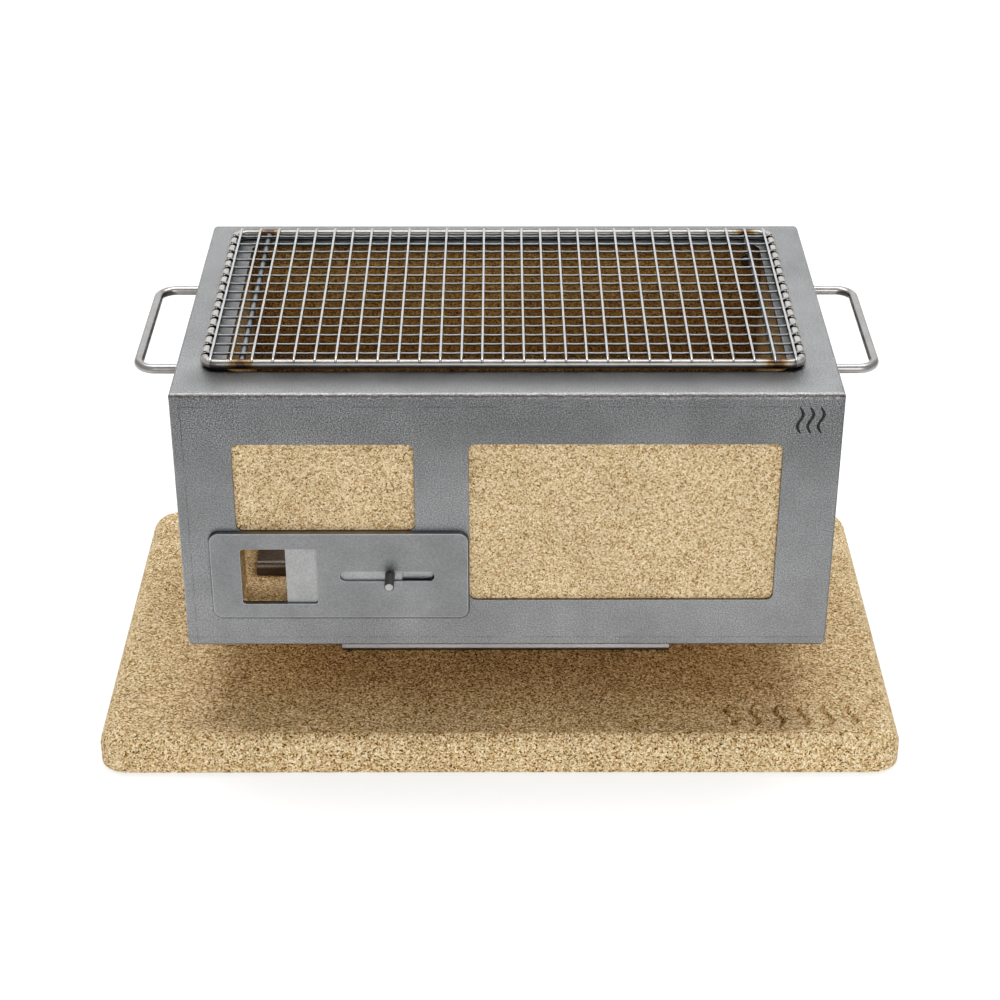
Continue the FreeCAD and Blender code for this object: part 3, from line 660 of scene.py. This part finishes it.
def board_lines(half, strokes):
    """Grid lines across the board: close together over the round-overs and over the carved strokes."""
    insets = round_over_insets()
    flat = half - insets[-1]
    lines = [-half + inset for inset in insets[:-1]]
    lines += spaced(-flat, strokes[0], BOARD_STEP)[:-1]
    lines += spaced(strokes[0], strokes[1], STROKE_STEP)[:-1]
    lines += spaced(strokes[1], flat, BOARD_STEP)
    return lines + [half - inset for inset in reversed(insets[:-1])]


def board_place(x, y, half_x, half_y):
    """A grid point moved so that the corners come out round, with its distance in from the edge."""
    over_x, over_y = abs(x) - (half_x - BOARD_CORNER), abs(y) - (half_y - BOARD_CORNER)
    if over_x <= 0 or over_y <= 0:
        return x, y, min(half_x - abs(x), half_y - abs(y))
    reach = max(over_x, over_y)
    turn = math.pi / 4 * (over_y / over_x if over_x > over_y else 2 - over_x / over_y)
    round_x = half_x - BOARD_CORNER + reach * math.cos(turn)
    round_y = half_y - BOARD_CORNER + reach * math.sin(turn)
    return math.copysign(round_x, x), math.copysign(round_y, y), BOARD_CORNER - reach


def stroke_depth(x, y):
    """Depth of a row of carved wavy strokes, a plain decoration."""
    (left, right), (front, back) = STROKES["x"], STROKES["y"]
    if not (left < x < right and front < y < back):
        return 0.0
    along = (y - front) / (back - front)
    pitch = (right - left) / STROKE_COUNT
    bent = x - left - STROKE_BEND * math.sin(2 * math.pi * along)
    away = abs(bent % pitch - pitch / 2)
    end = max(0.0, STROKE_HALF_WIDTH - min(y - front, back - y))
    away = math.hypot(away, end)
    return STROKE_DEPTH * max(0.0, 1 - (away / STROKE_HALF_WIDTH) ** 4)


def board_top_point(x, y, half_x, half_y, top):
    """A point of the top or its round-over, with the grain, and less what the strokes carve away."""
    place_x, place_y, inset = board_place(x, y, half_x, half_y)
    turn = math.acos(min(1.0, 1 - inset / ROUND_OVER)) if inset < ROUND_OVER else math.pi / 2
    rise = ROUND_OVER * math.sin(min(turn, ROUND_OVER_TURN))
    place = Vector((place_x, place_y, top - ROUND_OVER * math.sin(ROUND_OVER_TURN) + rise))
    rough = GRAIN_DEPTH * grain(place, GRAIN_SIZE)
    if inset < EDGE_BAND:
        return place + Vector((place_x, place_y, 0)).normalized() * min(0.0, rough)
    return place + Vector((0, 0, 1)) * (rough - stroke_depth(place_x, place_y))


def grid_rim(columns, rows):
    """The indices round a grid's edge, from its first point along its first row and back to that point."""
    last_row = (rows - 1) * columns
    rim = list(range(columns)) + [row * columns + columns - 1 for row in range(1, rows)]
    rim += [last_row + column for column in range(columns - 2, -1, -1)]
    return rim + [row * columns for row in range(rows - 2, 0, -1)]


def add_board_sides(board, rim):
    """Plain sides from the rim down, turned in at the foot, and a flat underside."""
    corners = [board.vertices[index] for index in rim]
    above = rim
    for height in (SIDE_FOOT, 0.0):
        below = []
        for point in corners:
            place = Vector((point.x, point.y, height))
            outward = Vector((point.x, point.y, 0)).normalized()
            rough = GRAIN_DEPTH * min(0.0, grain(place, GRAIN_SIZE))
            below.append(len(board.vertices))
            board.vertices.append(place - outward * (UNDERSIDE_INSET if height == 0.0 else abs(rough)))
        for index in range(len(rim)):
            after = (index + 1) % len(rim)
            board.faces.append((above[after], above[index], below[index], below[after]))
        above = below
    board.faces.append(tuple(reversed(above)))


def make_base_board():
    """The board as one skin: a grained top with a round-over, plain sides and a flat underside."""
    _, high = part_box("base_board")
    xs = board_lines(high.x, STROKES["x"])
    ys = board_lines(high.y, STROKES["y"])
    board = Shape()
    for y in ys:
        for x in xs:
            board.vertices.append(board_top_point(x, y, high.x, high.y, high.z))
    columns, rows = len(xs), len(ys)
    for row in range(rows - 1):
        for column in range(columns - 1):
            corner = row * columns + column
            board.faces.append((corner, corner + 1, corner + columns + 1, corner + columns))
    add_board_sides(board, grid_rim(columns, rows))
    made = board.piece("base_board_grained", MATERIALS["board_vermiculite"], "base")
    underside = made.data.polygons[-1]
    underside.use_smooth = False
    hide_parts("base_board")


# ---- Linings --------------------------------------------------------------------------------------------

FRONT_VOXEL = 1.5 * MM
INNER_VOXEL = 2.4 * MM
CRUMB_SIZE = 2.5 * MM
CRUMB_DEPTH = 0.3 * MM
CRUMB_SHIFTS = ((0, 0, 0), (7, 3, 1), (2, 9, 5))     # where in the noise each axis is read


def make_grained_lining(node, voxel, material):
    """A lining board with a crumbly surface: its own shape remeshed finely, then roughened."""
    low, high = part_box(node)
    source = bpy.data.objects.new(node + "_source", frame["nodes"][node].data.copy())
    bpy.context.scene.collection.objects.link(source)
    remesh = source.modifiers.new("remesh", "REMESH")
    remesh.mode = "VOXEL"
    remesh.voxel_size = voxel
    shaped = bpy.data.meshes.new_from_object(source.evaluated_get(bpy.context.evaluated_depsgraph_get()))
    bpy.data.objects.remove(source)
    for vertex in shaped.vertices:
        spot = vertex.co * (1 / CRUMB_SIZE)
        rough = Vector([noise.noise(spot + Vector(shift)) for shift in CRUMB_SHIFTS])
        place = vertex.co + rough * CRUMB_DEPTH
        vertex.co = Vector([min(max(value, least), most) for value, least, most in zip(place, low, high)])
    shaped.materials.clear()
    shaped.materials.append(material)
    made = add_piece(node + "_grained", shaped, "grill")
    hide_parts(node)


def make_linings():
    make_grained_lining("lining_front", FRONT_VOXEL, MATERIALS["lining_vermiculite"])
    for lining in ("lining_left", "lining_right", "lining_floor"):
        make_grained_lining(lining, INNER_VOXEL, MATERIALS["lining_vermiculite"])
    # Painted shade: the rear lining gets the darker tan.
    make_grained_lining("lining_rear", INNER_VOXEL, SHADED_REAR_LINING)


# ---- Cooking grate --------------------------------------------------------------------------------------

TIP_REACH = 1.7 * MM             # a cross wire's tip past its CAD end
TIP_LENGTH = 6 * MM
TIP_DROP = 1.2 * MM
TIP_THINNING = 0.45
WIRE_BOW = 0.2 * MM
WIRE_LEAN = 0.12 * MM
CROSS_WAVE = 0.05 * MM
CROSS_SINK = 0.02 * MM
LONG_WANDER = 0.15 * MM
LONG_WAVE = 0.11 * MM
LONG_SINK = 0.1 * MM             # a long wire's top above the cross wires' underside
RISE_FROM, RISE_LENGTH = 4.6 * MM, 2.6 * MM
LONG_TIP, LONG_TIP_THINNING = 1.2 * MM, 0.3
STEPS_PER_PITCH = 6
CROSSING_NUGGET = Vector((1.15, 1.0, 0.5)) * MM
END_NUGGET = Vector((1.2, 1.6, 0.6)) * MM
SIDE_NUGGET = Vector((1.3, 1.2, 0.6)) * MM


def wire_lines(node, axis, count, radius):
    """The even places of a set of wires across their box."""
    low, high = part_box(node)
    first, last = low[axis] + radius, high[axis] - radius
    return [first + (last - first) * index / (count - 1) for index in range(count)]


def cross_wire_radius():
    low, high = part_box("grate_cross_wires")
    return (high.z - low.z) / 2


def long_wire_heights():
    """The long wires' middle under the cross wires, and where they lie on the side rods."""
    _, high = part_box("grate_cross_wires")
    _, high_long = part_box("grate_long_wires")
    return high.z - 2 * cross_wire_radius() - WIRE_RADIUS + LONG_SINK, high_long.z - WIRE_RADIUS


def dip(place, first, pitch):
    """0 at every wire that is crossed, and 2 halfway between them."""
    return 1 - math.cos(2 * math.pi * (place - first) / pitch)


def make_cross_wires(chance, xs, ys):
    """The front to back wires, slightly bowed, with tips pressed down onto the rods."""
    low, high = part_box("grate_cross_wires")
    radius = cross_wire_radius()
    pitch = ys[1] - ys[0]
    wires = Shape()
    for x in xs:
        bow, lean = chance.uniform(-WIRE_BOW, WIRE_BOW), chance.uniform(-WIRE_LEAN, WIRE_LEAN)
        path, radii = [], []
        for y in spaced(low.y - TIP_REACH, high.y + TIP_REACH, pitch / STEPS_PER_PITCH):
            along = (y - low.y) / (high.y - low.y)
            to_tip = min(y - low.y, high.y - y) + TIP_REACH
            press = max(0.0, 1 - to_tip / TIP_LENGTH) ** 1.5
            wave = CROSS_WAVE * dip(y, ys[0], pitch)
            path.append(Vector((x + bow * math.sin(math.pi * along) + lean * (2 * along - 1), y,
                                high.z - radius - CROSS_SINK - wave - press * TIP_DROP)))
            radii.append(radius * (1 - TIP_THINNING * press))
        wires.tube(path, radii)
    made = wires.piece("grate_cross_wires_welded", MATERIALS["wire_steel"], "cooking_grate")
    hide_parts("grate_cross_wires")


def make_long_wires(chance, xs, ys):
    """The left to right wires, which step up over the side rods and end just past them."""
    low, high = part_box("grate_long_wires")
    level, over_rod = long_wire_heights()
    pitch = ys[1] - ys[0]
    wires = Shape()
    for y in ys:
        wander = chance.uniform(-LONG_WANDER, LONG_WANDER)
        path, radii = [], []
        for x in spaced(low.x + 0.1 * MM, high.x - 0.1 * MM, pitch / STEPS_PER_PITCH):
            to_end = min(x - low.x, high.x - x)
            rise = min(1.0, max(0.0, (RISE_FROM - to_end) / RISE_LENGTH))
            eased = rise * rise * (3 - 2 * rise)
            drift = wander * math.sin(math.pi * (x - low.x) / (high.x - low.x))
            wave = LONG_WAVE * dip(x, xs[0], pitch) * (1 - rise)
            path.append(Vector((x, y + drift, level + (over_rod - level) * eased - wave)))
            radii.append(WIRE_RADIUS * (1 - LONG_TIP_THINNING * max(0.0, 1 - to_end / LONG_TIP)))
        wires.tube(path, radii)
    made = wires.piece("grate_long_wires_welded", LONG_WIRE, "cooking_grate")
    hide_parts("grate_long_wires")


def make_weld_nuggets(xs, ys):
    """Weld metal where two wires cross and where each wire meets a rod of the frame."""
    low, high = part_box("grate_cross_wires")
    low_long, high_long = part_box("grate_long_wires")
    level, over_rod = long_wire_heights()
    welds = Shape()
    for x in xs:
        for y in ys:
            welds.nugget(Vector((x, y, level + 0.75 * MM)), CROSSING_NUGGET)
        for end, inward in ((low.y, 1), (high.y, -1)):
            welds.nugget(Vector((x, end + inward * 0.6 * MM, high.z - 2.1 * MM)), END_NUGGET)
    for y in ys:
        for end, inward in ((low_long.x, 1), (high_long.x, -1)):
            welds.nugget(Vector((end + inward * 1.2 * MM, y, over_rod - 0.45 * MM)), SIDE_NUGGET)
    welds.piece("grate_weld_nuggets", MATERIALS["wire_steel"], "cooking_grate")


def make_grate_wires():
    chance = random.Random(SEED)
    xs = wire_lines("grate_cross_wires", 0, CROSS_WIRES, cross_wire_radius())
    ys = wire_lines("grate_long_wires", 1, LONG_WIRES, WIRE_RADIUS)
    make_cross_wires(chance, xs, ys)
    make_long_wires(chance, xs, ys)
    make_weld_nuggets(xs, ys)


# ---- Vent stud ------------------------------------------------------------------------------------------

THREAD_PITCH = 1.0 * MM
THREAD_DEPTH = 0.5 * MM
STUD_CHAMFER = 0.7 * MM
STUD_SIDES = 28
RINGS_PER_TURN = 8


def thread_cut(phase):
    """The thread's depth at a phase from 0 to 1: a groove at its ends and a crest at its middle."""
    return THREAD_DEPTH * min(1.0, max(0.0, 2.3 * abs(phase - 0.5) - 0.15))


def make_vent_stud():
    """The stud with its thread cut as a helix, and a chamfered tip."""
    low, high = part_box("vent_stud")
    radius = (high.x - low.x) / 2
    centre_x, centre_z = (low.x + high.x) / 2, (low.z + high.z) / 2
    stud = Shape()
    rings = spaced(low.y, high.y, THREAD_PITCH / RINGS_PER_TURN)
    for y in rings:
        for corner in range(STUD_SIDES):
            turn = corner / STUD_SIDES
            phase = ((y - low.y) / THREAD_PITCH + turn) % 1.0
            reach = min(radius - thread_cut(phase), radius - STUD_CHAMFER + (y - low.y))
            stud.vertices.append(Vector((centre_x + reach * math.cos(2 * math.pi * turn), y,
                                         centre_z + reach * math.sin(2 * math.pi * turn))))
    stud.skin(0, len(rings), STUD_SIDES, flipped=True)
    made = stud.piece("vent_stud_threaded", STUD_STEEL, "vent_slide", False)
    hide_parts("vent_stud")


# ---- Plain decoration on the front ----------------------------------------------------------------------

MARK_FROM_RIGHT, MARK_FROM_TOP = 20 * MM, 17 * MM
MARK_PROUD = 0.04 * MM
MARK_THICKNESS = 0.5 * MM
MARK_PITCH = 6.2 * MM
MARK_HALF_HEIGHT = 9 * MM
MARK_HALF_WIDTH = 0.95 * MM
MARK_SWING = 1.5 * MM
MARK_STEPS = 24


def make_heat_waves():
    """Three thin rising waves on the front, at the top right: a plain decoration."""
    low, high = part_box("front_top_panel")
    front, middle_z = low.y - MARK_PROUD, high.z - MARK_FROM_TOP
    marks = Shape()
    for stroke in (-1, 0, 1):
        middle_x = high.x - MARK_FROM_RIGHT + stroke * MARK_PITCH
        first = len(marks.vertices)
        for index in range(MARK_STEPS + 1):
            along = 2 * index / MARK_STEPS - 1
            x = middle_x + MARK_SWING * math.sin(along * math.pi * 1.15)
            z = middle_z + along * MARK_HALF_HEIGHT
            half_width = MARK_HALF_WIDTH * math.sqrt(max(0.02, 1 - along ** 4))
            for side, back in ((-1, 0.0), (1, 0.0), (1, MARK_THICKNESS), (-1, MARK_THICKNESS)):
                marks.vertices.append(Vector((x + side * half_width, front + back, z)))
        marks.skin(first, MARK_STEPS + 1, 4)
    marks.piece("front_heat_waves", etched("etched_mark_dark", 0.09), "grill", False)


# ---- Floor and light ------------------------------------------------------------------------------------

FLOOR_SIDE = 6.0
FLOOR_FRONT = -0.48
FLOOR_BACK = 7.0
WORLD_STRENGTH = 0.6
WHITE = (1.0, 1.0, 1.0, 1.0)

# Each light's name, place, target, size and power in watts.
LIGHTS = (
    ("back_panel", (0.0, 2.2, 1.05), (0.0, 0.0, 0.2), (3.4, 1.0), 9.0),
    ("overhead", (0.0, 0.46, 2.0), (0.0, -0.05, 0.1), (2.0, 0.8), 34.0),
    ("front_key", (0.4, -2.3, 1.0), (0.0, 0.0, 0.1), (1.6, 0.9), 18.5),
)

# Places on the combined tone curve and what they become. Above the last one the curve stays straight.
TONE_CURVE = ((0.05, 0.016), (0.1, 0.052), (0.16, 0.112), (0.23, 0.188), (0.32, 0.29), (0.45, 0.45))
COMBINED_CURVE = 3


def make_floor():
    """A pale table that glows faintly. Its front edge lies just below the camera's view."""
    mesh = bpy.data.meshes.new("floor")
    mesh.from_pydata([(-FLOOR_SIDE, FLOOR_FRONT, 0), (FLOOR_SIDE, FLOOR_FRONT, 0),
                      (FLOOR_SIDE, FLOOR_BACK, 0), (-FLOOR_SIDE, FLOOR_BACK, 0)], [], [(0, 1, 2, 3)])
    floor = bpy.data.objects.new("floor", mesh)
    bpy.context.scene.collection.objects.link(floor)
    m = Nodes("floor_pale")
    m.set("Base Color", (0.55, 0.55, 0.55, 1.0))
    m.set("Roughness", 0.9)
    m.set("Specular IOR Level", 0.1)
    m.set("Emission Color", WHITE)
    m.set("Emission Strength", 0.5)
    mesh.materials.append(m.material)


def make_area_light(name, place, target, size, power):
    data = bpy.data.lights.new(name, "AREA")
    data.shape = "RECTANGLE"
    data.size, data.size_y = size
    data.energy = power
    light = bpy.data.objects.new(name, data)
    light.location = place
    light.rotation_euler = (Vector(target) - Vector(place)).to_track_quat("-Z", "Y").to_euler()
    bpy.context.scene.collection.objects.link(light)


def make_lights():
    for light in LIGHTS:
        make_area_light(*light)
    world = bpy.data.worlds.new("studio")
    world.use_nodes = True
    background = world.node_tree.nodes["Background"]
    background.inputs["Color"].default_value = WHITE
    background.inputs["Strength"].default_value = WORLD_STRENGTH
    bpy.context.scene.world = world


def set_tone():
    """Pulls the shadows down and leaves the lights as they are."""
    view = bpy.context.scene.view_settings
    view.view_transform = "Standard"
    view.use_curve_mapping = True
    curve = view.curve_mapping.curves[COMBINED_CURVE]
    for place, value in TONE_CURVE:
        curve.points.new(place, value)
    view.curve_mapping.update()


make_camera()
make_base_board()
make_linings()
make_grate_wires()
make_vent_stud()
make_heat_waves()
make_floor()
make_lights()
set_tone()
